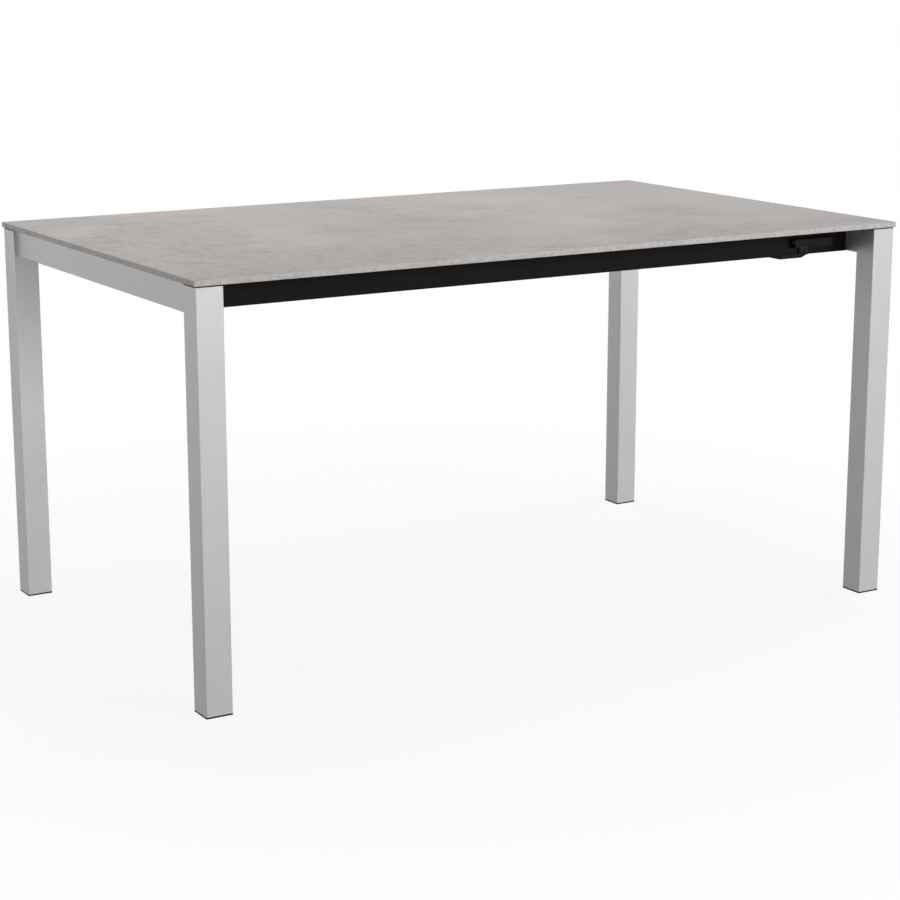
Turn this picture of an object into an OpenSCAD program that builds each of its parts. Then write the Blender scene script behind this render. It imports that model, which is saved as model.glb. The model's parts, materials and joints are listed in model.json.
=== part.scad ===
// Extendable dining table: a one-piece top on a telescopic metal frame.
// Millimetres. The origin is on the floor under the middle of the closed table.
// +X runs along the table to the end that pulls out, +Y to the back, +Z up.
// The top, the two left legs, their end rail and the black side rails stand still.
// The two right legs and their end rail pull out on slide rails, with the spare leaf.

/* [Top] */
// Length of the top
top_l = 1500; // [1400:10:1800]
// Width of the top
top_w = 900; // [800:10:1000]
// Thickness of the top and of the leaf
top_t = 10; // [6:1:14]
// Height of the top's surface above the floor
table_h = 750; // [700:5:800]
// Rounding along the edges of the top and of the leaf
edge_r = 1; // [0.5:0.25:2]
// Gap between the frame and the top
top_gap = 2.5; // [2:0.5:5]
// Distance from a leg's faces in to the pad on it
pad_inset = 0.5; // [0.5:0.5:3]

/* [Extension] */
// Gap between the stored leaf and a slide rail
leaf_side_gap = 37; // [32:0.5:60]
// Gap between a sliding piece and what it slides past
run_gap = 0.3; // [0.2:0.05:0.6]
// Gap between the side rails' ends and the end rail when closed
end_play = 0.5; // [0.3:0.1:2]

/* [Legs] */
// Side of a square leg
leg_w = 50; // [40:1:70]
// Wall of a leg
leg_wall = 2; // [1.5:0.5:4]
// Corner radius of a leg
leg_r = 2; // [1:0.5:4]
// Distance from the top's edge in to the legs
leg_inset = 2.5; // [0:0.5:20]
// Thickness of the foot under a leg
foot_t = 3; // [2:0.5:8]
// Height of the foot's plug inside the leg
foot_plug_h = 18; // [10:1:40]
// Wall of the foot's plug
foot_plug_wall = 3; // [2:0.5:5]
// Gap between a plug or tongue and the tube round it
plug_gap = 0.2; // [0.1:0.05:0.5]

/* [End rails] */
// Height of the end rails and of the side rails
rail_h = 50; // [46:1:70]
// Width of an end rail
end_rail_w = 42; // [30:1:48]
// Wall of an end rail
end_rail_wall = 2; // [1.5:0.5:3]
// Height of the corner casting inside a leg
casting_h = 75; // [60:5:120]
// Wall of the casting's plug
casting_wall = 5; // [3:0.5:8]
// Length of the casting's tongue inside the end rail
tongue_l = 45; // [30:5:45]
// Shank diameter of the screws in a tongue
corner_screw_d = 5; // [4:0.5:6]
// Head diameter of those screws
corner_head_d = 9; // [8:0.5:11]
// Length of those screws
corner_screw_l = 16; // [12:1:24]

/* [Side rails] */
// Distance from the legs' inner faces in to the side rails
side_rail_inset = 31; // [20:1:60]
// Depth of a side rail, a channel that is open to the inside
side_rail_d = 26; // [20:1:40]
// Thickness of the channel's upright web
web_t = 3; // [2:0.5:5]
// Thickness of the channel's flanges
flange_t = 3; // [2.5:0.5:5]
// Rounding of the channel's outer edges
side_rail_r = 1; // [0.5:0.25:2]
// Diameter of the stop rivet's head inside the channel
stop_d = 8; // [6:0.5:12]
// Skin of the web that is left outside the stop rivet
stop_skin = 1; // [0.5:0.25:1.5]

/* [Slide rails] */
// Width of a slide rail, a tube that runs inside the channel
slide_w = 24; // [20:1:40]
// Wall of a slide rail
slide_wall = 2.5; // [2:0.5:4]
// Gap between a slide rail and the channel's web
web_gap = 2.5; // [2:0.25:4]
// Gap between a slide rail and each flange
flange_gap = 2; // [1.5:0.25:4]
// Length of the shoe's head on the inner end of a slide rail
shoe_l = 12; // [8:1:30]
// Length of the shoe's plug inside the slide rail
shoe_plug_l = 30; // [15:1:60]
// Length of the guide at the mouth of a side rail
guide_l = 30; // [15:1:40]
// Thickness of the collar that closes a side rail's end round the slide rail
collar_t = 2; // [1:0.5:5]
// Corner radius of the tubes inside the frame
tube_r = 1; // [0.5:0.25:2]

/* [Fixed cross members] */
// Side of the square beam between the side rails
beam_w = 40; // [25:1:44]
// Wall of the beam
beam_wall = 2; // [1.5:0.5:4]
// Distance from the left end rail to the beam
beam_inset = 60; // [50:5:150]
// Room between the beam and the slide rails' shoes
beam_clear = 10; // [2:1:40]
// Width of a flat strap between the top and the side rails
strap_w = 50; // [30:5:80]
// Distance from a side rail's end to the middle of the outer straps
strap_inset = 90; // [60:5:150]
// Shank diameter of the small screws, for straps, beam and battens
small_screw_d = 4; // [3:0.5:5]
// Head diameter of the small screws
small_head_d = 8; // [6.5:0.5:10]

/* [Brackets] */
// Length of a bracket's arms
bracket_l = 40; // [30:1:48]
// Thickness of a bracket
bracket_t = 4; // [3:0.5:6]
// Fillet in the corner of a bracket
bracket_r = 3; // [1:0.5:4]
// Distance from an arm's end to the middle of its screws
bracket_edge = 13; // [10:0.5:15]
// Shank diameter of the brackets' screws
screw_d = 5; // [4:0.5:6]
// Head diameter of the brackets' screws
screw_head_d = 9.5; // [8:0.5:12]
// Head height of the brackets' screws
screw_head_h = 3; // [2:0.5:4]
// How far the brackets' screws reach into a wall
screw_bite = 6; // [4:0.5:10]

/* [Leaf] */
// Width of the bars that carry the leaf
bar_w = 30; // [20:1:50]
// Height of those bars
bar_h = 15; // [10:1:16]
// Wall of those bars
bar_wall = 1.5; // [1:0.5:3]
// Thickness of the felt on those bars
felt_t = 1.5; // [1:0.5:3]
// Gap between the stored leaf and the slide rails' brackets
leaf_arm_gap = 1; // [0.5:0.5:3]
// Gap between the stored leaf and the end rail
leaf_clear = 5; // [4.5:0.5:20]
// Distance from the leaf's edge in to the end of a batten
batten_inset = 20; // [10:5:60]
// Diameter of the leaf's locating pins
pin_d = 8; // [6:0.5:12]
// Radial clearance of those pins in the bars and slide rails
pin_gap = 0.4; // [0.2:0.1:0.6]
// How far those pins reach below the batten
pin_drop = 6; // [4:0.5:8]
// Distance between the two pins of a batten
pin_pitch = 360; // [200:10:380]
// How far the battens' screws reach into the leaf
batten_screw_bite = 5; // [3:0.5:5.5]

/* [Release lock] */
// Distance from the side rail's end to the lock's left end
lock_inset = 138.5; // [125:0.5:200]
// Length of the lock's housing
lock_l = 95; // [92:1:110]
// Height of the housing above the shaft
lock_up = 7.5; // [7.5:0.5:12]
// How far the housing stands out from the side rail
lock_d = 13.5; // [13.5:0.5:20]
// Rounding of the housing
lock_r = 4; // [1:0.5:6]
// Wall of the housing
lock_wall = 1.2; // [1:0.1:2]
// Thickness of the housing's end cap
cap_t = 2; // [1.5:0.5:4]
// Shank diameter of the housing's screws
lock_screw_d = 3; // [2.5:0.25:3]
// Head diameter of the housing's screws
lock_head_d = 6; // [5:0.25:6]
// How far the housing's screws reach into it
lock_screw_bite = 8; // [5:0.5:10]
// Height of the shaft above the side rail's bottom
shaft_up = 26; // [24:0.5:34]
// Diameter of the shaft
shaft_d = 6; // [5:0.5:6]
// Radial clearance of the shaft in its bearings
shaft_gap = 0.1; // [0.05:0.05:0.2]
// Length of the bearings on either side of the spring
bearing_l = 6; // [5:0.5:7]
// Width of the ring on the shaft's left end
ring_w = 3; // [2:0.5:4]
// How far the ring lies inside the housing's end
ring_recess = 1.5; // [1:0.25:2]
// Width of the lever's arm along the rail
arm_w = 22; // [18:1:24]
// Thickness of the lever's arm
arm_t = 2; // [1.5:0.25:2.5]
// Distance from the lock's left end to the arm's right edge
arm_reach = 41.5; // [38:0.5:43]
// Length of the finger paddle
paddle_l = 65; // [40:1:90]
// How far the arm's right edge lies beyond the paddle's
paddle_back = 5; // [0.5:0.5:6]
// How far the paddle reaches in under the side rail
paddle_d = 42; // [30:1:60]
// How far the paddle hangs below the side rail
paddle_drop = 5.5; // [4:0.5:15]
// Length of the slope at the paddle's right end
paddle_slope = 12.5; // [8:0.5:20]
// Thickness of the paddle's front lip
lip_t = 3.4; // [3:0.1:6]
// How far the lip rises over the side rail's front face
lip_up = 2; // [1:0.5:4]
// How far the tab that holds the arm rises over the side rail's front face
tab_up = 12; // [10:0.5:12.5]
// Shank diameter of the paddle's screws
paddle_screw_d = 2.5; // [2:0.25:3]
// Head diameter of the paddle's screws
paddle_head_d = 5; // [4:0.25:6]
// Head height of the paddle's screws
paddle_head_h = 1.2; // [1:0.1:2]
// Distance between the paddle's two screws
paddle_screw_pitch = 11; // [9:0.5:12]
// Gap between the lever and the side rail
lever_gap = 0.5; // [0.4:0.1:1]
// Angle that the lever turns through
lever_turn = 20; // [10:1:24]
// Diameter of the pin that holds the lever on the shaft
lever_pin_d = 2.5; // [2:0.25:3]
// Radius of the crank on the shaft's inner end
crank_r = 5.25; // [5:0.25:6.5]
// Thickness of the crank
crank_t = 3.5; // [3:0.5:5]
// Diameter of the crank's end round its pin
crank_boss_d = 5; // [4.5:0.25:5.5]
// Diameter of the crank's pin
crank_pin_d = 3; // [2:0.25:3]
// Length of the brake shoe along the rail
brake_l = 20; // [16:1:22]
// Height of the brake shoe
brake_h = 6.5; // [6.5:0.25:7]
// Gap between the brake shoe and the end cap
brake_end_gap = 1; // [0.5:0.25:2]
// Wall of the brake shoe in front of the crank's pin
brake_wall = 1.5; // [1:0.25:1.5]
// Wire diameter of the return spring
spring_wire = 1.2; // [0.8:0.1:1.2]
// Turns of the return spring
spring_turns = 6; // [4:1:7]

/* [Hidden] */
$fn = 32;
eps = 0.01;

// Levels
frame_top = table_h - top_t - top_gap;
frame_bottom = frame_top - rail_h;
slide_z0 = frame_bottom + flange_t + flange_gap;
slide_z1 = frame_top - flange_t - flange_gap;
slide_h = slide_z1 - slide_z0;
mid_z = (frame_bottom + frame_top) / 2;

// Faces along X
leg_x = top_l / 2 - leg_inset - leg_w;
side_x0 = -leg_x;
side_x1 = leg_x - end_play - collar_t;
beam_x = side_x0 + beam_inset;
slide_x0 = beam_x + beam_w + beam_clear + shoe_l;
slide_x1 = leg_x;

// Faces across, as distances from the middle
leg_y = top_w / 2 - leg_inset - leg_w;
side_y = leg_y - side_rail_inset;
web_y = side_y - web_t;
slide_out = web_y - web_gap;
slide_in = slide_out - slide_w;
slide_mid = (slide_out + slide_in) / 2;
leg_mid_x = leg_x + leg_w / 2;
leg_mid_y = leg_y + leg_w / 2;

// How far the right end pulls out, which is also the leaf's width
travel = 2 * (slide_in - leaf_side_gap);
stop_x = slide_x0 + travel + end_play + stop_d / 2;

// The leaf lies lengthways between the slide rails
leaf_l = top_w;
leaf_x = leg_x - leaf_clear - leaf_l / 2;
batten_t = table_h - top_t - slide_z1;
batten_l = travel - 2 * batten_inset;
bar_z1 = slide_z0 + bar_h;
batten_z = bar_z1 + felt_t;
leaf_z = batten_z + batten_t;
bar_xs = [leaf_x - slide_mid, leaf_x + slide_mid];
tie_bar_x = slide_x0 + shoe_plug_l + bar_w;
end_arm_l = leaf_side_gap - leaf_arm_gap;
use_x = top_l / 2 - travel / 2;
pin_tip = pin_d / 4;

// The straps' places along the table
strap_xs = [side_x0 + strap_inset, 0, side_x1 - strap_inset / 2];
strap_y = side_y - side_rail_r;
strap_screw_dx = strap_w / 4;

// The lock along X: ring, bearing, arm, spring, crank, brake shoe, cap
lock_x = side_x1 - lock_inset;
housing_x1 = lock_x + lock_l;
bearing_x0 = lock_x + ring_recess + ring_w + run_gap;
arm_x1 = lock_x + arm_reach;
arm_x0 = arm_x1 - arm_w;
arm_mid = (arm_x0 + arm_x1) / 2;
brake_x1 = housing_x1 - cap_t - brake_end_gap;
brake_x0 = brake_x1 - brake_l;
crank_x0 = brake_x0 - run_gap - crank_t;
pocket_x0 = arm_x1 + run_gap + bearing_l;
pocket_x1 = crank_x0 - run_gap - bearing_l;

// The lock's shaft and what turns on it
lock_down = crank_r + brake_h / 2 + run_gap + lock_wall;
shaft_y = side_y + lever_gap + lock_d / 2;
shaft_z = frame_bottom + shaft_up;
hub_r = lock_d / 2 - lever_gap - lock_wall - run_gap;
crank_y = shaft_y - crank_r * sin(lever_turn / 2);
crank_z = shaft_z - crank_r * cos(lever_turn / 2);
brake_front = crank_y + crank_pin_d / 2 + run_gap + brake_wall;
spring_r = shaft_d / 2 + run_gap + spring_wire / 2;
pocket_r = spring_r + spring_wire / 2 + run_gap;

aluminium = [0.76, 0.77, 0.78];
black = [0.12, 0.12, 0.12];
stone = [0.72, 0.70, 0.68];
steel = [0.62, 0.62, 0.63];
nylon = [0.2, 0.2, 0.2];
felt = [0.3, 0.3, 0.31];

// Block between two opposite corners
module block(p, q) { translate(p) cube(q - p); }

// Rounded rectangle round the origin
module round_rect(w, h, r) {
    square([w - 2 * r, h], center = true);
    square([w, h - 2 * r], center = true);
    for (x = [-1, 1], y = [-1, 1])
        translate([x * (w / 2 - r), y * (h / 2 - r)]) circle(r);
}

// Section of a square tube
module tube_section(w, h, wall, r) {
    difference() {
        round_rect(w, h, r);
        square([w - 2 * wall, h - 2 * wall], center = true);
    }
}

// Section of an angle with its corner at the origin
module angle_section(arm_x, arm_y) {
    square([arm_x, bracket_t]);
    square([bracket_t, arm_y]);
    translate([bracket_t, bracket_t]) difference() {
        square(bracket_r);
        translate([bracket_r, bracket_r]) circle(bracket_r);
    }
}

// Profile drawn in Y and Z, extruded along X
module along_x(x0, x1) {
    translate([x0, 0, 0]) rotate([90, 0, 90]) linear_extrude(x1 - x0) children();
}

// Profile drawn in X and Z, extruded along Y
module along_y(y0, y1) {
    translate([0, y1, 0]) rotate([90, 0, 0]) linear_extrude(y1 - y0) children();
}

// Rods along each axis, by their two ends
module rod_x(x0, x1, y, z, d) { translate([x0, y, z]) rotate([0, 90, 0]) cylinder(d = d, h = x1 - x0); }
module rod_y(x, y0, y1, z, d) { translate([x, y0, z]) rotate([-90, 0, 0]) cylinder(d = d, h = y1 - y0); }
module rod_z(x, y, z0, z1, d) { translate([x, y, z0]) cylinder(d = d, h = z1 - z0); }

// Countersunk screw that points up from z = 0, and the hole that it fills
module countersunk(d, head_d, l) {
    cylinder(d = d, h = l);
    cylinder(d1 = head_d, d2 = d, h = (head_d - d) / 2);
}

// Screws with a round head, on a face at x or y, that point along dir
module screw_x(x, dir, y, z, reach) {
    head = dir > 0 ? [x - screw_head_h, x] : [x, x + screw_head_h];
    shank = dir > 0 ? [x, x + reach] : [x - reach, x];
    rod_x(head[0], head[1], y, z, screw_head_d);
    rod_x(shank[0], shank[1], y, z, screw_d);
}

module screw_y(x, y, dir, z, reach) {
    head = dir > 0 ? [y - screw_head_h, y] : [y, y + screw_head_h];
    shank = dir > 0 ? [y, y + reach] : [y - reach, y];
    rod_y(x, head[0], head[1], z, screw_head_d);
    rod_y(x, shank[0], shank[1], z, screw_d);
}

// Both sides of the table, from the front side
module front_and_back() {
    children();
    mirror([0, 1, 0]) children();
}

// A corner of the table, from the front right one
module corner(sx, sy) {
    mirror([sx < 0 ? 1 : 0, 0, 0]) mirror([0, sy > 0 ? 1 : 0, 0]) children();
}

// Flat panel with rounded long and short edges
module panel(l, w, z) {
    translate([0, 0, z + top_t / 2]) intersection() {
        along_x(-l / 2, l / 2) round_rect(w, top_t, edge_r);
        along_y(-w / 2, w / 2) round_rect(l, top_t, edge_r);
    }
}

// ---- top ----

module table_top() { color(stone) panel(top_l, top_w, table_h - top_t); }

module strap_screw_places() {
    for (x = strap_xs, dx = [-1, 1], sy = [-1, 1])
        translate([x + dx * strap_screw_dx, sy * (side_y - side_rail_d / 2), frame_top + top_gap])
            mirror([0, 0, 1]) countersunk(small_screw_d, small_head_d, top_gap + flange_t);
}

module top_straps() {
    color(black) difference() {
        for (x = strap_xs)
            block([x - strap_w / 2, -strap_y, frame_top], [x + strap_w / 2, strap_y, frame_top + top_gap]);
        strap_screw_places();
    }
}

module strap_screws() { color(steel) strap_screw_places(); }

// Strip along an end rail that widens over the two legs
module pad_set(t) {
    pad_w = leg_w - 2 * pad_inset;
    translate([0, 0, frame_top]) linear_extrude(t) {
        for (sy = [-1, 1]) translate([leg_mid_x, sy * leg_mid_y]) round_rect(pad_w, pad_w, leg_r);
        translate([leg_x + end_rail_w / 2, 0])
            square([end_rail_w - 2 * pad_inset, 2 * leg_mid_y], center = true);
    }
}

module top_pads() { color(black) mirror([1, 0, 0]) pad_set(top_gap); }
module end_pads() { color(black) pad_set(top_gap - run_gap); }

// ---- legs and end rails ----

module leg_shape() {
    difference() {
        translate([leg_mid_x, -leg_mid_y, foot_t]) linear_extrude(frame_top - foot_t)
            tube_section(leg_w, leg_w, leg_wall, leg_r);
        // Notch that lets the casting's tongue into the end rail
        block([leg_x + end_rail_wall, -leg_y - leg_wall - eps, frame_bottom + end_rail_wall],
              [leg_x + end_rail_w - end_rail_wall, -leg_y + eps, frame_top + eps]);
    }
}

module leg_front_left() { color(aluminium) corner(-1, -1) leg_shape(); }
module leg_back_left() { color(aluminium) corner(-1, 1) leg_shape(); }
module leg_front_right() { color(aluminium) corner(1, -1) leg_shape(); }
module leg_back_right() { color(aluminium) corner(1, 1) leg_shape(); }

// Screws up through the end rail into the casting's tongue
module corner_screw_places() {
    for (dy = [1, 3])
        translate([leg_x + end_rail_w / 2, -leg_y + dy * tongue_l / 4, frame_bottom])
            countersunk(corner_screw_d, corner_head_d, corner_screw_l);
}

module end_rail_shape() {
    difference() {
        along_y(-leg_y, leg_y) translate([leg_x + end_rail_w / 2, mid_z])
            tube_section(end_rail_w, rail_h, end_rail_wall, leg_r);
        front_and_back() corner_screw_places();
    }
}

// Plug in the leg's top, with a tongue into the end rail
module casting_shape() {
    inner = leg_wall + plug_gap;
    core = inner + casting_wall;
    rail_gap = end_rail_wall + plug_gap;
    difference() {
        union() {
            block([leg_x + inner, -leg_y - leg_w + inner, frame_top - casting_h],
                  [leg_x + leg_w - inner, -leg_y - inner, frame_top]);
            block([leg_x + rail_gap, -leg_y - inner - eps, frame_bottom + rail_gap],
                  [leg_x + end_rail_w - rail_gap, -leg_y + tongue_l, frame_top - rail_gap]);
        }
        // The plug is cored out from below
        block([leg_x + core, -leg_y - leg_w + core, frame_top - casting_h - eps],
              [leg_x + leg_w - core, -leg_y - core, frame_bottom]);
        corner_screw_places();
    }
}

module corner_castings_left() { color(steel) for (sy = [-1, 1]) corner(-1, sy) casting_shape(); }
module corner_castings_right() { color(steel) for (sy = [-1, 1]) corner(1, sy) casting_shape(); }
module corner_screws_left() { color(steel) for (sy = [-1, 1]) corner(-1, sy) corner_screw_places(); }
module corner_screws_right() { color(steel) for (sy = [-1, 1]) corner(1, sy) corner_screw_places(); }

// Foot with a hollow plug that holds it in the leg
module foot_shape() {
    plug_w = leg_w - 2 * leg_wall - 2 * plug_gap;
    translate([leg_mid_x, -leg_mid_y, 0]) {
        linear_extrude(foot_t) round_rect(leg_w, leg_w, leg_r);
        translate([0, 0, foot_t]) linear_extrude(foot_plug_h) difference() {
            square(plug_w, center = true);
            square(plug_w - 2 * foot_plug_wall, center = true);
        }
    }
}

module feet_left() { color(black) for (sy = [-1, 1]) corner(-1, sy) foot_shape(); }
module feet_right() { color(black) for (sy = [-1, 1]) corner(1, sy) foot_shape(); }

// ---- side rails, channels that face each other ----

module channel_profile() {
    translate([-side_y + side_rail_d / 2, mid_z]) difference() {
        round_rect(side_rail_d, rail_h, side_rail_r);
        translate([web_t, 0]) square([side_rail_d, rail_h - 2 * flange_t], center = true);
    }
}

// Rivet set in the web from inside, whose head stops the slide rail's shoe
module stop_rivet_shape() {
    rod_y(stop_x, -side_y + stop_skin, -web_y, mid_z, stop_d / 2);
    rod_y(stop_x, -web_y, -slide_out - run_gap, mid_z, stop_d);
}

module beam_screw_places() {
    for (dx = [1, 3])
        translate([beam_x + dx * beam_w / 4, -side_y + side_rail_d / 2, frame_bottom])
            countersunk(small_screw_d, small_head_d, flange_t + beam_wall);
}

module channel_shape() {
    difference() {
        along_x(side_x0, side_x1) channel_profile();
        strap_screw_places();
        beam_screw_places();
        stop_rivet_shape();
        side_bracket_screws_web();
    }
}

// Window for the brake shoe and holes for the housing's screws
module side_rail_front() {
    color(black) difference() {
        channel_shape();
        block([brake_x0 - run_gap, -side_y - eps, crank_z - brake_h / 2 - run_gap],
              [brake_x1 + run_gap, -web_y + eps, crank_z + brake_h / 2 + run_gap]);
        lock_screw_places();
    }
}

module side_rail_back() { color(black) mirror([0, 1, 0]) channel_shape(); }

// Angle bracket in the corner of a side rail and the left end rail
module side_bracket_shape() {
    translate([side_x0, -web_y, slide_z0]) linear_extrude(slide_h) angle_section(bracket_l, bracket_l);
}

// The two heights of a bracket's screws
bracket_screw_zs = [slide_z0 + slide_h / 4, slide_z1 - slide_h / 4];

module side_bracket_screws_web() {
    for (z = bracket_screw_zs)
        screw_y(side_x0 + bracket_l - bracket_edge, -web_y + bracket_t, -1, z, bracket_t + web_t);
}

module side_bracket_screws_end() {
    for (z = bracket_screw_zs)
        screw_x(side_x0 + bracket_t, -1, -web_y + bracket_l - bracket_edge, z, bracket_t + screw_bite);
}

module side_rail_brackets() {
    color(steel) front_and_back() difference() {
        side_bracket_shape();
        side_bracket_screws_web();
        side_bracket_screws_end();
    }
}

module side_rail_bracket_screws() {
    color(steel) front_and_back() {
        side_bracket_screws_web();
        side_bracket_screws_end();
    }
}

module end_rail_left() {
    color(aluminium) difference() {
        mirror([1, 0, 0]) end_rail_shape();
        front_and_back() side_bracket_screws_end();
    }
}

// Beam that rests on the channels' lower flanges
module cross_beam() {
    color(black) difference() {
        along_y(-web_y, web_y) translate([beam_x + beam_w / 2, frame_bottom + flange_t + beam_w / 2])
            tube_section(beam_w, beam_w, beam_wall, tube_r);
        front_and_back() beam_screw_places();
    }
}

module beam_screws() { color(steel) front_and_back() beam_screw_places(); }

// Guide that lines the channel's mouth, with a collar over its end
module guide_shape() {
    inner_y = slide_out + run_gap;
    inner_z0 = slide_z0 - run_gap;
    inner_z1 = slide_z1 + run_gap;
    difference() {
        union() {
            block([side_x1 - guide_l, -web_y, frame_bottom + flange_t],
                  [side_x1, -side_y + side_rail_d, frame_top - flange_t]);
            along_x(side_x1, side_x1 + collar_t)
                translate([-side_y + side_rail_d / 2, mid_z]) round_rect(side_rail_d, rail_h, side_rail_r);
        }
        block([side_x1 - guide_l - eps, -inner_y, inner_z0],
              [side_x1 + collar_t + eps, -side_y + side_rail_d + eps, inner_z1]);
    }
}

module guides() { color(nylon) front_and_back() guide_shape(); }
module stop_rivets() { color(steel) front_and_back() stop_rivet_shape(); }

// ---- slide rails and what they carry ----

module slide_rail_shape() {
    difference() {
        along_x(slide_x0, slide_x1) translate([-slide_mid, mid_z])
            tube_section(slide_w, slide_h, slide_wall, tube_r);
        // Holes for the pins of the leaf in use
        for (dx = [-1, 1])
            rod_z(use_x - travel / 2 + dx * pin_pitch / 2, -slide_mid, slide_z1 - slide_wall - eps,
                  slide_z1 + eps, pin_d + 2 * pin_gap);
        slide_bracket_screws_rail();
    }
}

module slide_rail_front() { color(aluminium) slide_rail_shape(); }
module slide_rail_back() { color(aluminium) mirror([0, 1, 0]) slide_rail_shape(); }

// Shoe on the inner end of a slide rail
module slide_shoe_shape() {
    inner = slide_wall + plug_gap;
    block([slide_x0 - shoe_l, -web_y + run_gap, frame_bottom + flange_t + run_gap],
          [slide_x0, -slide_in, frame_top - flange_t - run_gap]);
    block([slide_x0 - eps, -slide_out + inner, slide_z0 + inner],
          [slide_x0 + shoe_plug_l, -slide_in - inner, slide_z1 - inner]);
}

module slide_shoes() { color(nylon) front_and_back() slide_shoe_shape(); }

// Angle bracket in the corner of a slide rail and the right end rail
module slide_bracket_shape() {
    translate([slide_x1, -slide_in, slide_z0]) mirror([1, 0, 0])
        linear_extrude(slide_h) angle_section(bracket_l, end_arm_l);
}

module slide_bracket_screws_rail() {
    for (z = bracket_screw_zs)
        screw_y(slide_x1 - bracket_l + bracket_edge, -slide_in + bracket_t, -1, z, bracket_t + slide_wall);
}

module slide_bracket_screws_end() {
    for (z = bracket_screw_zs)
        screw_x(slide_x1 - bracket_t, 1, -slide_in + end_arm_l - bracket_edge, z, bracket_t + screw_bite);
}

module slide_rail_brackets() {
    color(steel) front_and_back() difference() {
        slide_bracket_shape();
        slide_bracket_screws_rail();
        slide_bracket_screws_end();
    }
}

module slide_rail_bracket_screws() {
    color(steel) front_and_back() {
        slide_bracket_screws_rail();
        slide_bracket_screws_end();
    }
}

module end_rail_right() {
    color(aluminium) difference() {
        end_rail_shape();
        front_and_back() slide_bracket_screws_end();
    }
}

// Bars between the slide rails: two carry the leaf, one ties the inner ends
module leaf_bars() {
    color(black) difference() {
        for (x = concat(bar_xs, [tie_bar_x]))
            along_y(-slide_in, slide_in) translate([x, slide_z0 + bar_h / 2])
                tube_section(bar_w, bar_h, bar_wall, tube_r);
        leaf_pin_places(pin_d + 2 * pin_gap);
    }
}

module leaf_pin_places(d) {
    for (x = bar_xs, sy = [-1, 1])
        rod_z(x, sy * pin_pitch / 2, batten_z - pin_drop, leaf_z, d);
}

module leaf_felts() {
    color(felt) difference() {
        for (x = bar_xs)
            block([x - bar_w / 2 + tube_r, -batten_l / 2, bar_z1],
                  [x + bar_w / 2 - tube_r, batten_l / 2, batten_z]);
        leaf_pin_places(pin_d + 2 * pin_gap);
    }
}

module leaf() {
    color(stone) difference() {
        translate([leaf_x, 0, 0]) panel(leaf_l, travel, leaf_z);
        batten_screw_places();
    }
}

module batten_screw_places() {
    for (x = bar_xs, dy = [-1, 0, 1])
        translate([x, dy * (batten_l / 2 - pin_d), batten_z])
            countersunk(small_screw_d, small_head_d, batten_t + batten_screw_bite);
}

// Battens under the leaf, which rest on the slide rails when it is in use
module leaf_battens() {
    color(aluminium) difference() {
        for (x = bar_xs)
            along_y(-batten_l / 2, batten_l / 2) translate([x, batten_z + batten_t / 2])
                round_rect(slide_w, batten_t, tube_r);
        leaf_pin_places(pin_d);
        batten_screw_places();
    }
}

module batten_screws() { color(steel) batten_screw_places(); }

// Pins with a conical tip
module leaf_pins() {
    color(nylon) for (x = bar_xs, sy = [-1, 1]) translate([x, sy * pin_pitch / 2, batten_z - pin_drop]) {
        cylinder(d1 = pin_d - pin_tip, d2 = pin_d, h = pin_tip);
        translate([0, 0, pin_tip]) cylinder(d = pin_d, h = batten_t + pin_drop - pin_tip);
    }
}

// ---- release lock on the front side rail ----

// The brake's slot is cut in as deep as the crank's pin reaches
module brake_slot() {
    play = run_gap + crank_pin_d / 2;
    block([brake_x0 - eps, -crank_y - play, crank_z - play - run_gap],
          [brake_x0 + brake_l / 2, -crank_y + play, crank_z + play + run_gap]);
}

module brake_shoe() {
    color(nylon) difference() {
        block([brake_x0, -brake_front, crank_z - brake_h / 2],
              [brake_x1, -slide_out - run_gap, crank_z + brake_h / 2]);
        brake_slot();
    }
}

// The housing's front edges are round, and its flat back lies on the rail
module housing_section() {
    height = lock_up + lock_down;
    middle = shaft_z + (lock_up - lock_down) / 2;
    intersection() {
        translate([-side_y, middle]) round_rect(2 * lock_d, height, lock_r);
        translate([-side_y - lock_d, middle - height / 2]) square([lock_d, height]);
    }
}

// Space behind the housing's wall, from one place along X to another
module chamber(x0, x1) {
    block([x0, -side_y - lock_d + lock_wall, shaft_z - lock_down + lock_wall],
          [x1, -side_y + eps, shaft_z + lock_up - lock_wall]);
}

module lock_housing() {
    color(black) difference() {
        along_x(lock_x, housing_x1 - cap_t) housing_section();
        rod_x(lock_x - eps, bearing_x0, -shaft_y, shaft_z, 2 * (hub_r + run_gap));
        rod_x(bearing_x0 - eps, crank_x0, -shaft_y, shaft_z, shaft_d + 2 * shaft_gap);
        spring_pocket();
        chamber(crank_x0 - run_gap, housing_x1);
        chamber(arm_x0 - run_gap, arm_x1 + run_gap);
        // Slot that the arm swings through
        block([arm_x0 - run_gap, -shaft_y, shaft_z - lock_down - eps],
              [arm_x1 + run_gap, -side_y + eps, shaft_z]);
        lock_screw_places();
    }
}

module spring_pocket() {
    rod_x(pocket_x0, pocket_x1, -shaft_y, shaft_z, 2 * pocket_r);
    block([pocket_x0, -shaft_y, shaft_z - pocket_r], [pocket_x1, -side_y + eps, shaft_z + pocket_r]);
}

module lock_cap() { color(black) along_x(housing_x1 - cap_t, housing_x1) housing_section(); }

// Screws from inside the channel, through the left bearing and the one by the crank
module lock_screw_places() {
    xs = [(bearing_x0 + arm_x0 - run_gap) / 2, pocket_x1 + bearing_l / 2];
    for (x = xs) translate([x, -web_y, shaft_z - lock_down + lock_screw_d])
        rotate([90, 0, 0]) countersunk(lock_screw_d, lock_head_d, web_t + lock_screw_bite);
}

module lock_screws() { color(steel) lock_screw_places(); }

// Coil round the shaft, swept along a helix
function helix_point(a, x0, pitch, r) =
    [x0 + pitch * a / 360, -shaft_y + r * cos(a), shaft_z + r * sin(a)];

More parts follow.
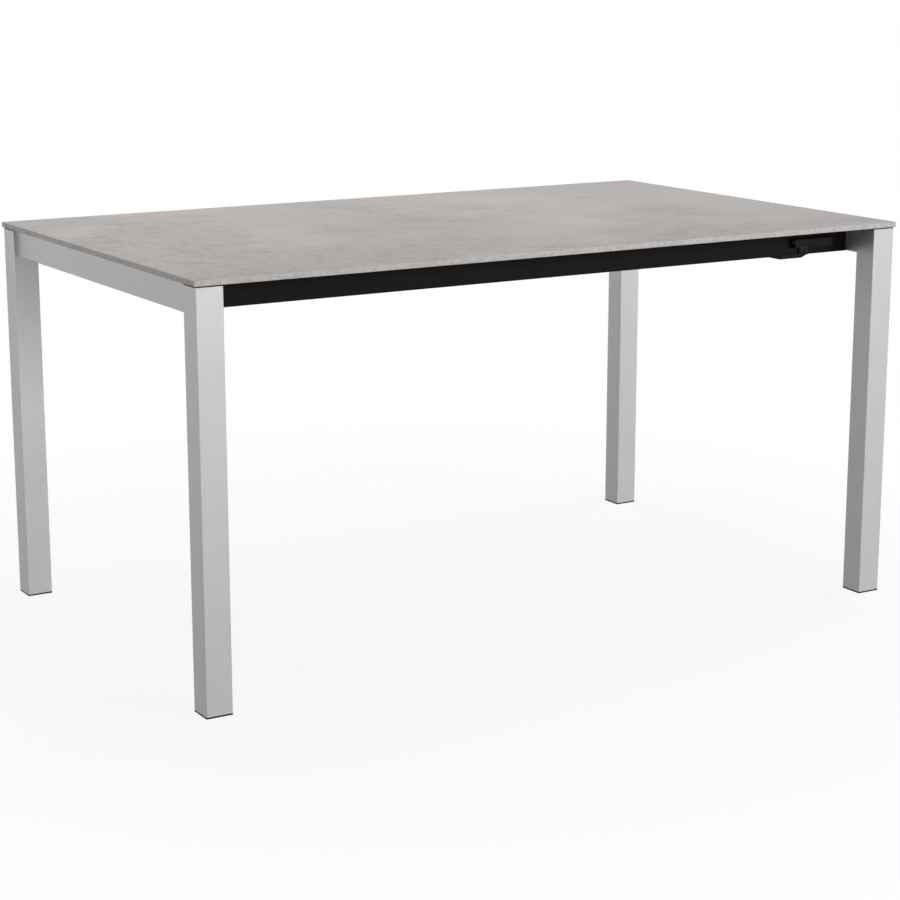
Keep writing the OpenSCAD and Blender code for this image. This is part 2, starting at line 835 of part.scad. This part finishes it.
module return_spring() {
    sides = 8;
    steps = 16;
    length = pocket_x1 - pocket_x0 - 2 * run_gap - spring_wire;
    pitch = length / spring_turns;
    rings = spring_turns * steps;
    points = [for (i = [0:rings], k = [0:sides - 1])
        let (a = 360 * i / steps, b = 360 * k / sides)
        helix_point(a, pocket_x0 + run_gap + spring_wire / 2 + spring_wire / 2 * sin(b), pitch,
                    spring_r + spring_wire / 2 * cos(b))];
    walls = [for (i = [0:rings - 1], k = [0:sides - 1])
        let (n = (k + 1) % sides) [i * sides + k, i * sides + n, (i + 1) * sides + n, (i + 1) * sides + k]];
    ends = [[for (k = [sides - 1:-1:0]) k], [for (k = [0:sides - 1]) rings * sides + k]];
    color(steel) polyhedron(points, concat(walls, ends));
}

// Paddle seen from the front, with a slope at its right end
module paddle_outline(top) {
    x1 = arm_x1 - paddle_back;
    x0 = x1 - paddle_l;
    z0 = frame_bottom - paddle_drop;
    polygon([[x0, z0], [x1 - paddle_slope, z0], [x1, frame_bottom - lever_gap], [x1, top], [x0, top]]);
}

// Paddle with a tab in front of the arm
module release_lever() {
    lip_y = -side_y - lever_gap;
    color(black) difference() {
        union() {
            along_y(lip_y - lip_t, lip_y) paddle_outline(frame_bottom + lip_up);
            along_y(lip_y - eps, lip_y - lip_t + paddle_d) paddle_outline(frame_bottom - lever_gap);
            block([arm_x0, lip_y - lip_t, frame_bottom], [arm_x1, lip_y, frame_bottom + tab_up]);
        }
        block([arm_x0 - eps, lip_y - arm_t, frame_bottom], [arm_x1 + eps, lip_y + eps, shaft_z]);
        paddle_screw_places();
    }
}

// Hub on the shaft, with an arm that comes down close to the rail
module lever_arm() {
    back = -side_y - lever_gap;
    color(black) difference() {
        union() {
            rod_x(arm_x0, arm_x1, -shaft_y, shaft_z, 2 * hub_r);
            block([arm_x0, -shaft_y, shaft_z - hub_r], [arm_x1, back, shaft_z - lever_pin_d]);
            block([arm_x0, back - arm_t, frame_bottom], [arm_x1, back, shaft_z - lever_pin_d]);
        }
        rod_x(arm_x0 - eps, arm_x1 + eps, -shaft_y, shaft_z, shaft_d);
        lever_pin_place();
        paddle_screw_places();
    }
}

module paddle_screw_places() {
    front = -side_y - lever_gap - lip_t;
    z = frame_bottom + lip_up + (tab_up - lip_up) / 2;
    for (dx = [-1, 1]) {
        x = arm_mid + dx * paddle_screw_pitch / 2;
        rod_y(x, front - paddle_head_h, front, z, paddle_head_d);
        rod_y(x, front, front + lip_t, z, paddle_screw_d);
    }
}

module paddle_screws() { color(black) paddle_screw_places(); }

module lever_pin_place() {
    length = hub_r - shaft_gap;
    rod_y(arm_mid, -shaft_y - length, -shaft_y + length, shaft_z, lever_pin_d);
}

module lever_pin() { color(steel) lever_pin_place(); }

// Shaft with a crank that moves the brake shoe
module lock_shaft() {
    color(steel) difference() {
        union() {
            rod_x(lock_x, crank_x0 + crank_t, -shaft_y, shaft_z, shaft_d);
            rod_x(crank_x0, crank_x0 + crank_t, -crank_y, crank_z, crank_boss_d);
            translate([crank_x0, -shaft_y, shaft_z]) rotate([lever_turn / 2, 0, 0])
                translate([0, -shaft_d / 2, -crank_r]) cube([crank_t, shaft_d, crank_r]);
            rod_x(crank_x0 + crank_t, brake_x0 + brake_l / 2 - run_gap, -crank_y, crank_z, crank_pin_d);
        }
        lever_pin_place();
    }
}

// Ring pressed on the shaft's left end, in the housing's counterbore
module shaft_ring() {
    x = lock_x + ring_recess;
    color(black) difference() {
        rod_x(x, x + ring_w, -shaft_y, shaft_z, 2 * hub_r);
        rod_x(x - eps, x + ring_w + eps, -shaft_y, shaft_z, shaft_d);
    }
}

table_top();
top_straps();
strap_screws();
top_pads();
leg_front_left();
leg_back_left();
end_rail_left();
corner_castings_left();
corner_screws_left();
feet_left();
side_rail_front();
side_rail_back();
side_rail_brackets();
side_rail_bracket_screws();
cross_beam();
beam_screws();
guides();
stop_rivets();
leg_front_right();
leg_back_right();
end_rail_right();
corner_castings_right();
corner_screws_right();
feet_right();
end_pads();
slide_rail_front();
slide_rail_back();
slide_shoes();
slide_rail_brackets();
slide_rail_bracket_screws();
leaf_bars();
leaf_felts();
leaf();
leaf_battens();
batten_screws();
leaf_pins();
lock_housing();
lock_cap();
lock_screws();
return_spring();
release_lever();
lever_arm();
paddle_screws();
lever_pin();
lock_shaft();
shaft_ring();
brake_shoe();
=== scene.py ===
import json
import math

import bpy
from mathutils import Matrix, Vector

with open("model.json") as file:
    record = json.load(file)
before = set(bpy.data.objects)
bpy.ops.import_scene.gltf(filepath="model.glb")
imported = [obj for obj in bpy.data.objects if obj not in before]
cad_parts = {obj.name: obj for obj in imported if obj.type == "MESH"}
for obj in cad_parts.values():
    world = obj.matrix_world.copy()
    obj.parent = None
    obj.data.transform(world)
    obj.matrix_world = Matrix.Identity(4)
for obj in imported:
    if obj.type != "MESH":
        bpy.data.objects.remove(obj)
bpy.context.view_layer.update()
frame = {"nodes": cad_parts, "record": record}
NODES = frame["nodes"]

# ---- camera -------------------------------------------------------------------------

CAMERA_PLACE = (-2.2257, -3.7078, 1.2885)
CAMERA_YAW = 0.5411      # turned to the right of +Y
CAMERA_PITCH = 0.2265    # tilted down
CAMERA_LENS = 88.645     # millimetres
CAMERA_SENSOR = 36.0     # millimetres
CAMERA_REACH = 100.0     # metres, the far end of what it sees


def make_camera():
    data = bpy.data.cameras.new("camera")
    data.sensor_width = CAMERA_SENSOR
    data.lens = CAMERA_LENS
    data.clip_end = CAMERA_REACH
    camera = bpy.data.objects.new("camera", data)
    bpy.context.scene.collection.objects.link(camera)
    camera.location = CAMERA_PLACE
    camera.rotation_euler = (math.pi / 2 - CAMERA_PITCH, 0.0, -CAMERA_YAW)
    bpy.context.scene.camera = camera


# ---- node helpers -------------------------------------------------------------------


def shade(tone, factor):
    """The tone made lighter or darker, with its hue kept."""
    return tuple(channel * factor for channel in tone)


class Finish:
    """One material: a Principled shader and the procedural nodes that feed it.
    Textures run in object space, in metres."""

    def __init__(self, name, tone, roughness, metallic=0.0, specular=0.5):
        self.material = bpy.data.materials.new(name)
        self.material.use_nodes = True
        self.tree = self.material.node_tree
        self.shader = self.tree.nodes["Principled BSDF"]
        self.shader.inputs["Base Color"].default_value = (*tone, 1.0)
        self.shader.inputs["Roughness"].default_value = roughness
        self.shader.inputs["Metallic"].default_value = metallic
        self.shader.inputs["Specular IOR Level"].default_value = specular
        self.place = self.tree.nodes.new("ShaderNodeTexCoord").outputs["Object"]

    def link(self, source, target):
        """Feeds a socket from a number, a tone or another node's output."""
        if isinstance(source, (int, float)):
            target.default_value = source
        elif isinstance(source, tuple):
            target.default_value = (*source, 1.0)
        else:
            self.tree.links.new(source, target)

    def feed(self, name, source):
        self.link(source, self.shader.inputs[name])

    def axes(self, vector):
        """The X, Y and Z outputs of a vector."""
        node = self.tree.nodes.new("ShaderNodeSeparateXYZ")
        self.link(vector, node.inputs["Vector"])
        return node.outputs

    def noise(self, scale, detail, rough, stretch=(1.0, 1.0, 1.0), shift=(0.0, 0.0, 0.0), twist=0.0):
        """Fractal noise. The scale counts its features per metre."""
        mapping = self.tree.nodes.new("ShaderNodeMapping")
        mapping.inputs["Scale"].default_value = stretch
        mapping.inputs["Location"].default_value = shift
        self.link(self.place, mapping.inputs["Vector"])
        node = self.tree.nodes.new("ShaderNodeTexNoise")
        node.inputs["Scale"].default_value = scale
        node.inputs["Detail"].default_value = detail
        node.inputs["Roughness"].default_value = rough
        node.inputs["Distortion"].default_value = twist
        self.link(mapping.outputs["Vector"], node.inputs["Vector"])
        return node.outputs["Fac"]

    def cells(self, scale):
        """The distance to the nearest of scattered points, scaled as noise is."""
        node = self.tree.nodes.new("ShaderNodeTexVoronoi")
        node.inputs["Scale"].default_value = scale
        self.link(self.place, node.inputs["Vector"])
        return node.outputs["Distance"]

    def span(self, value, low, high, to_low=0.0, to_high=1.0):
        """Runs smoothly from to_low to to_high while the value runs from low to high."""
        node = self.tree.nodes.new("ShaderNodeMapRange")
        node.interpolation_type = "SMOOTHSTEP"
        for name, bound in zip(("From Min", "From Max", "To Min", "To Max"),
                               (low, high, to_low, to_high)):
            node.inputs[name].default_value = bound
        self.link(value, node.inputs["Value"])
        return node.outputs["Result"]

    def math(self, kind, a, b=0.0):
        node = self.tree.nodes.new("ShaderNodeMath")
        node.operation = kind
        self.link(a, node.inputs[0])
        self.link(b, node.inputs[1])
        return node.outputs["Value"]

    def mix(self, factor, a, b):
        """Tone a where the factor is 0, tone b where it is 1."""
        node = self.tree.nodes.new("ShaderNodeMix")
        node.data_type = "RGBA"
        self.link(factor, node.inputs["Factor"])
        self.link(a, node.inputs["A"])
        self.link(b, node.inputs["B"])
        return node.outputs["Result"]

    def shades(self, value, low, high, tone, first, last):
        """Goes from one shade of a tone to another while the value runs from low to high."""
        return self.mix(self.span(value, low, high), shade(tone, first), shade(tone, last))

    def bump(self, height, depth):
        """Relief in the shading alone, with its depth in metres."""
        node = self.tree.nodes.new("ShaderNodeBump")
        node.inputs["Distance"].default_value = depth
        self.link(height, node.inputs["Height"])
        self.feed("Normal", node.outputs["Normal"])


# ---- materials ----------------------------------------------------------------------

STONE_TONE = (0.548, 0.519, 0.499)


def stone_face(stone, smudge, grain):
    """Clouds, then darker marks and flecks that gather in patches, then grain and specks."""
    cool_tone = (0.533, 0.502, 0.503)
    mark_tone = (0.363, 0.328, 0.297)
    fleck_tone = (0.347, 0.317, 0.288)
    grain_tone = (0.374, 0.347, 0.330)
    speck_tone = (0.76, 0.74, 0.72)
    clouds = stone.noise(2.0, 4.0, 0.55, shift=(3.1, 0.4, 0.0))
    drift = stone.noise(1.3, 1.0, 0.5, shift=(7.3, 2.2, 0.0))
    patches = stone.noise(3.6, 4.0, 0.6, shift=(0.2, 8.1, 0.0))
    fleck = stone.noise(46.0, 5.0, 0.68, shift=(4.4, 0.9, 0.0), twist=0.4)
    # The patches lie denser towards the front left corner
    place = stone.axes(stone.place)
    lean = stone.math("ADD", stone.math("MULTIPLY", place["X"], -0.10),
                      stone.math("MULTIPLY", place["Y"], -0.16))
    density = stone.math("ADD", patches, lean)
    marks = stone.math("MULTIPLY", stone.span(smudge, 0.44, 0.68), stone.span(density, 0.40, 0.62))
    flecks = stone.math("MULTIPLY", stone.span(fleck, 0.51, 0.67), stone.span(density, 0.34, 0.60))
    specks = stone.span(stone.cells(260.0), 0.0, 0.22, 0.14, 0.0)
    color = stone.shades(clouds, 0.30, 0.70, STONE_TONE, 0.92, 1.08)
    color = stone.mix(stone.span(drift, 0.42, 0.68), color, cool_tone)
    color = stone.mix(stone.span(density, 0.36, 0.66, 0.0, 0.55), color, shade(STONE_TONE, 0.84))
    color = stone.mix(stone.math("MULTIPLY", marks, 0.46), color, mark_tone)
    color = stone.mix(stone.math("MULTIPLY", flecks, 0.55), color, fleck_tone)
    color = stone.mix(stone.span(grain, 0.25, 0.75, 0.0, 0.20), color, grain_tone)
    return stone.mix(specks, color, speck_tone)


def stone_finish():
    """Matt stoneware with the cloudy look of trowelled concrete. The cut edge is painted lighter
    than the face, a painted highlight that stands in for the light on the slab's edge, and it is
    coarser in grain."""
    stone = Finish("concrete_stoneware", STONE_TONE, 0.8, specular=0.12)
    smudge = stone.noise(17.0, 7.0, 0.70, shift=(1.7, 5.2, 0.0), twist=0.25)
    grain = stone.noise(420.0, 2.0, 0.6)
    crumb = stone.noise(150.0, 3.0, 0.7, shift=(2.3, 6.1, 0.0))
    geometry = stone.tree.nodes.new("ShaderNodeNewGeometry")
    upright = stone.axes(geometry.outputs["True Normal"])["Z"]
    painted_edge_mask = stone.span(stone.math("ABSOLUTE", upright), 0.3, 0.9, 1.0, 0.0)
    # Painted highlight: the upright cut edge is painted lighter than the face, standing in for the
    # light on the slab's edge; its coarser crumb grain is the stone's own.
    cut_grain_and_painted_light = stone.shades(crumb, 0.35, 0.65, STONE_TONE, 0.92, 1.16)
    stone.feed("Base Color", stone.mix(painted_edge_mask, stone_face(stone, smudge, grain), cut_grain_and_painted_light))
    stone.feed("Roughness", stone.span(smudge, 0.35, 0.7, 0.76, 0.84))
    stone.bump(grain, 0.00003)
    return stone.material


def silver_finish():
    """Satin silver paint over extruded tube: fine flake, faint lengthwise streaks."""
    tone = (0.570, 0.570, 0.572)
    silver = Finish("satin_silver", tone, 0.34, metallic=0.22, specular=0.4)
    flake = silver.noise(1500.0, 1.0, 0.5)
    streaks = silver.noise(90.0, 3.0, 0.6, stretch=(1.0, 1.0, 0.02))
    handling = silver.noise(9.0, 4.0, 0.6)
    color = silver.shades(flake, 0.3, 0.7, tone, 0.97, 1.03)
    color = silver.mix(silver.span(streaks, 0.3, 0.7, 0.0, 0.3), color, shade(tone, 0.975))
    silver.feed("Base Color", color)
    silver.feed("Roughness", silver.span(handling, 0.3, 0.7, 0.32, 0.37))
    silver.bump(flake, 0.00001)
    return silver.material


def powder_coat(name, tone, roughness, specular):
    """Black powder coat: a fine orange peel and a faint bloom."""
    coat = Finish(name, tone, roughness, specular=specular)
    peel = coat.noise(700.0, 2.0, 0.5)
    bloom = coat.noise(12.0, 4.0, 0.6)
    coat.feed("Base Color", coat.shades(bloom, 0.3, 0.7, tone, 0.85, 1.2))
    coat.feed("Roughness", coat.span(bloom, 0.3, 0.7, roughness - 0.04, roughness + 0.06))
    coat.bump(peel, 0.00005)
    return coat.material


def moulded(name, tone, roughness, specular, grain_scale):
    """Moulded plastic with an eroded grain."""
    plastic = Finish(name, tone, roughness, specular=specular)
    grain = plastic.noise(grain_scale, 3.0, 0.6)
    scuff = plastic.noise(25.0, 5.0, 0.7)
    color = plastic.mix(plastic.span(scuff, 0.45, 0.75, 0.0, 0.4), tone, shade(tone, 1.8))
    plastic.feed("Base Color", color)
    plastic.feed("Roughness", plastic.span(scuff, 0.3, 0.7, roughness - 0.05, roughness + 0.08))
    plastic.bump(grain, 0.00006)
    return plastic.material


def rubber_finish():
    """Matt black rubber with a little dust on it."""
    clean_tone = (0.018, 0.018, 0.018)
    dust_tone = (0.045, 0.044, 0.042)
    rubber = Finish("rubber", (0.020, 0.020, 0.020), 0.85, specular=0.25)
    dust = rubber.noise(60.0, 4.0, 0.7)
    rubber.feed("Base Color", rubber.mix(rubber.span(dust, 0.5, 0.8), clean_tone, dust_tone))
    rubber.bump(rubber.noise(500.0, 2.0, 0.5), 0.00008)
    return rubber.material


def felt_finish():
    """Grey felt: short curled fibres, pressed flat in places."""
    deep_tone = (0.06, 0.06, 0.062)
    fibre_tone = (0.18, 0.18, 0.184)
    pressed_tone = (0.09, 0.09, 0.092)
    felt = Finish("grey_felt", (0.11, 0.11, 0.112), 0.95, specular=0.1)
    fibre = felt.noise(900.0, 4.0, 0.75, stretch=(1.0, 0.35, 1.0), twist=1.5)
    pressed = felt.noise(120.0, 3.0, 0.6)
    color = felt.mix(fibre, deep_tone, fibre_tone)
    color = felt.mix(felt.span(pressed, 0.35, 0.65, 0.0, 0.35), color, pressed_tone)
    felt.feed("Base Color", color)
    felt.bump(fibre, 0.0004)
    return felt.material


def mill_aluminium():
    """Extruded aluminium, as it leaves the die: fine lines along X."""
    tone = (0.56, 0.57, 0.58)
    metal = Finish("mill_aluminium", tone, 0.36, metallic=0.9)
    lines = metal.noise(900.0, 3.0, 0.6, stretch=(0.004, 1.0, 1.0))
    cloud = metal.noise(14.0, 4.0, 0.6)
    color = metal.shades(lines, 0.3, 0.7, tone, 0.90, 1.08)
    color = metal.mix(metal.span(cloud, 0.4, 0.7, 0.0, 0.4), color, shade(tone, 0.86))
    metal.feed("Base Color", color)
    metal.feed("Roughness", metal.span(lines, 0.3, 0.7, 0.30, 0.42))
    metal.bump(lines, 0.00002)
    return metal.material


def zinc_finish():
    """Zinc plating: a faint spangle, a bluish cast and warmer stains."""
    tone = (0.50, 0.51, 0.53)
    stain_tone = (0.46, 0.45, 0.42)
    zinc = Finish("zinc_plate", tone, 0.34, metallic=0.95)
    spangle = zinc.cells(320.0)
    stain = zinc.noise(60.0, 4.0, 0.6)
    color = zinc.shades(spangle, 0.1, 0.6, tone, 1.10, 0.90)
    color = zinc.mix(zinc.span(stain, 0.5, 0.75, 0.0, 0.5), color, stain_tone)
    zinc.feed("Base Color", color)
    zinc.feed("Roughness", zinc.span(stain, 0.3, 0.7, 0.28, 0.44))
    zinc.bump(spangle, 0.00003)
    return zinc.material


def dress_nodes():
    """Gives each CAD node the finish of its slot in the record."""
    finishes = {
        "stone_top": stone_finish(),
        "silver_frame": silver_finish(),
        "black_rail": powder_coat("black_powder_coat", (0.0060, 0.0060, 0.0062),
                                  roughness=0.55, specular=0.05),
        "bare_aluminium": mill_aluminium(),
        "black_plastic": moulded("black_plastic", (0.0062, 0.0062, 0.0064),
                                 roughness=0.5, specular=0.07, grain_scale=900.0),
        "nylon": moulded("black_nylon", (0.020, 0.020, 0.021),
                         roughness=0.42, specular=0.3, grain_scale=500.0),
        "rubber_pad": rubber_finish(),
        "felt": felt_finish(),
        "zinc_steel": zinc_finish(),
        "black_steel": powder_coat("black_oxide", (0.010, 0.010, 0.0104),
                                   roughness=0.45, specular=0.15),
    }
    for part in frame["record"]["subparts"]:
        data = NODES[part["node"]].data
        data.materials.clear()
        data.materials.append(finishes[part["material_slot"]])


# ---- stage --------------------------------------------------------------------------

WHITE = (1.0, 1.0, 1.0, 1.0)
FLOOR_HALF = 30.0         # metres from the middle to each edge
FLOOR_BOUNCE = 0.12       # how much of the light the floor gives back to the table
FLOOR_TONE = 0.95         # of the lit floor, which carries the shadow
SHADOW_SHARE = 0.12       # how far the shadow shows on the white floor
SHADOW_FADE = (0.9, 1.9)  # metres from the middle, over which the shadow fades to white


def shown_as_background(tree):
    """1 for what the camera, a reflection or a glass sees directly, else 0."""
    path = tree.nodes.new("ShaderNodeLightPath")
    total = path.outputs["Is Camera Ray"]
    for name in ("Is Glossy Ray", "Is Transmission Ray"):
        add = tree.nodes.new("ShaderNodeMath")
        add.operation = "ADD"
        add.use_clamp = True
        tree.links.new(total, add.inputs[0])
        tree.links.new(path.outputs[name], add.inputs[1])
        total = add.outputs["Value"]
    return total


def mix_shaders(tree, share, first, second):
    node = tree.nodes.new("ShaderNodeMixShader")
    tree.links.new(share, node.inputs["Fac"])
    tree.links.new(first, node.inputs[1])
    tree.links.new(second, node.inputs[2])
    return node.outputs["Shader"]


def diffuse(tree, level):
    node = tree.nodes.new("ShaderNodeBsdfDiffuse")
    node.inputs["Color"].default_value = (level, level, level, 1.0)
    return node.outputs["BSDF"]


def shadow_share(tree):
    """How far the floor's shadow shows, which grows less away from the middle."""
    place = tree.nodes.new("ShaderNodeTexCoord")
    distance = tree.nodes.new("ShaderNodeVectorMath")
    distance.operation = "LENGTH"
    tree.links.new(place.outputs["Object"], distance.inputs[0])
    share = tree.nodes.new("ShaderNodeMapRange")
    share.interpolation_type = "SMOOTHSTEP"
    share.inputs["From Min"].default_value = SHADOW_FADE[0]
    share.inputs["From Max"].default_value = SHADOW_FADE[1]
    share.inputs["To Min"].default_value = SHADOW_SHARE
    share.inputs["To Max"].default_value = 0.0
    tree.links.new(distance.outputs["Value"], share.inputs["Value"])
    return share.outputs["Result"]


def floor_finish():
    """White with a faint shadow where it is seen, and grey in the light it gives back."""
    material = bpy.data.materials.new("white_floor")
    material.use_nodes = True
    tree = material.node_tree
    tree.nodes.remove(tree.nodes["Principled BSDF"])
    white = tree.nodes.new("ShaderNodeEmission")
    white.inputs["Color"].default_value = WHITE
    seen = mix_shaders(tree, shadow_share(tree), white.outputs["Emission"],
                       diffuse(tree, FLOOR_TONE))
    surface = mix_shaders(tree, shown_as_background(tree), diffuse(tree, FLOOR_BOUNCE), seen)
    tree.links.new(surface, tree.nodes["Material Output"].inputs["Surface"])
    return material


def make_floor():
    mesh = bpy.data.meshes.new("floor")
    mesh.from_pydata([(-FLOOR_HALF, -FLOOR_HALF, 0.0), (FLOOR_HALF, -FLOOR_HALF, 0.0),
                      (FLOOR_HALF, FLOOR_HALF, 0.0), (-FLOOR_HALF, FLOOR_HALF, 0.0)],
                     [], [(0, 1, 2, 3)])
    mesh.materials.append(floor_finish())
    floor = bpy.data.objects.new("floor", mesh)
    bpy.context.scene.collection.objects.link(floor)


def make_world():
    """White where it is seen. It gives no light, which is left to the lamps."""
    world = bpy.data.worlds.new("studio")
    world.use_nodes = True
    bpy.context.scene.world = world
    tree = world.node_tree
    dark = tree.nodes["Background"]
    dark.inputs["Strength"].default_value = 0.0
    white = tree.nodes.new("ShaderNodeBackground")
    white.inputs["Color"].default_value = WHITE
    surface = mix_shaders(tree, shown_as_background(tree), dark.outputs["Background"],
                          white.outputs["Background"])
    tree.links.new(surface, tree.nodes["World Output"].inputs["Surface"])


TABLE_MIDDLE = (0.0, 0.0, 0.5)  # where a lamp is aimed unless it says otherwise


def area_light(name, place, size, watts, aim=TABLE_MIDDLE, spread=180.0):
    """A rectangular lamp of size (width, height), with its spread in degrees."""
    data = bpy.data.lights.new(name, "AREA")
    data.shape = "RECTANGLE"
    data.size, data.size_y = size
    data.energy = watts
    data.spread = math.radians(spread)
    lamp = bpy.data.objects.new(name, data)
    bpy.context.scene.collection.objects.link(lamp)
    lamp.location = place
    toward = Vector(aim) - Vector(place)
    lamp.rotation_euler = toward.to_track_quat("-Z", "Y").to_euler()


def make_lights():
    """Soft lamps all round. The two that are aimed high light the legs less towards the floor."""
    area_light("front_far", place=(0.7, -9.0, 1.1), size=(7.0, 2.6), watts=66.0,
               aim=(0.0, 0.0, 2.7), spread=70.0)
    area_light("front_right", place=(5.0, -7.5, 2.6), size=(3.0, 1.8), watts=400.0)
    area_light("front_high", place=(0.0, -2.2, 2.3), size=(1.6, 1.0), watts=7.0)
    area_light("left_fill", place=(-2.6, 0.0, 1.3), size=(1.4, 1.0), watts=4.0)
    area_light("left_low", place=(-8.0, 0.8, 0.7), size=(2.0, 1.2), watts=40.0,
               aim=(0.0, 0.0, 3.6), spread=65.0)
    area_light("top_softbox", place=(-0.1, 0.35, 2.9), size=(2.4, 1.8), watts=36.0,
               aim=(0.0, 0.1, 0.7))
    area_light("right_fill", place=(3.2, 0.0, 1.2), size=(1.6, 1.6), watts=42.0)
    area_light("back_fill", place=(0.0, 3.6, 1.2), size=(2.4, 1.6), watts=45.0)


make_camera()
make_floor()
make_world()
make_lights()
dress_nodes()

bpy.context.scene.view_settings.view_transform = "Standard"
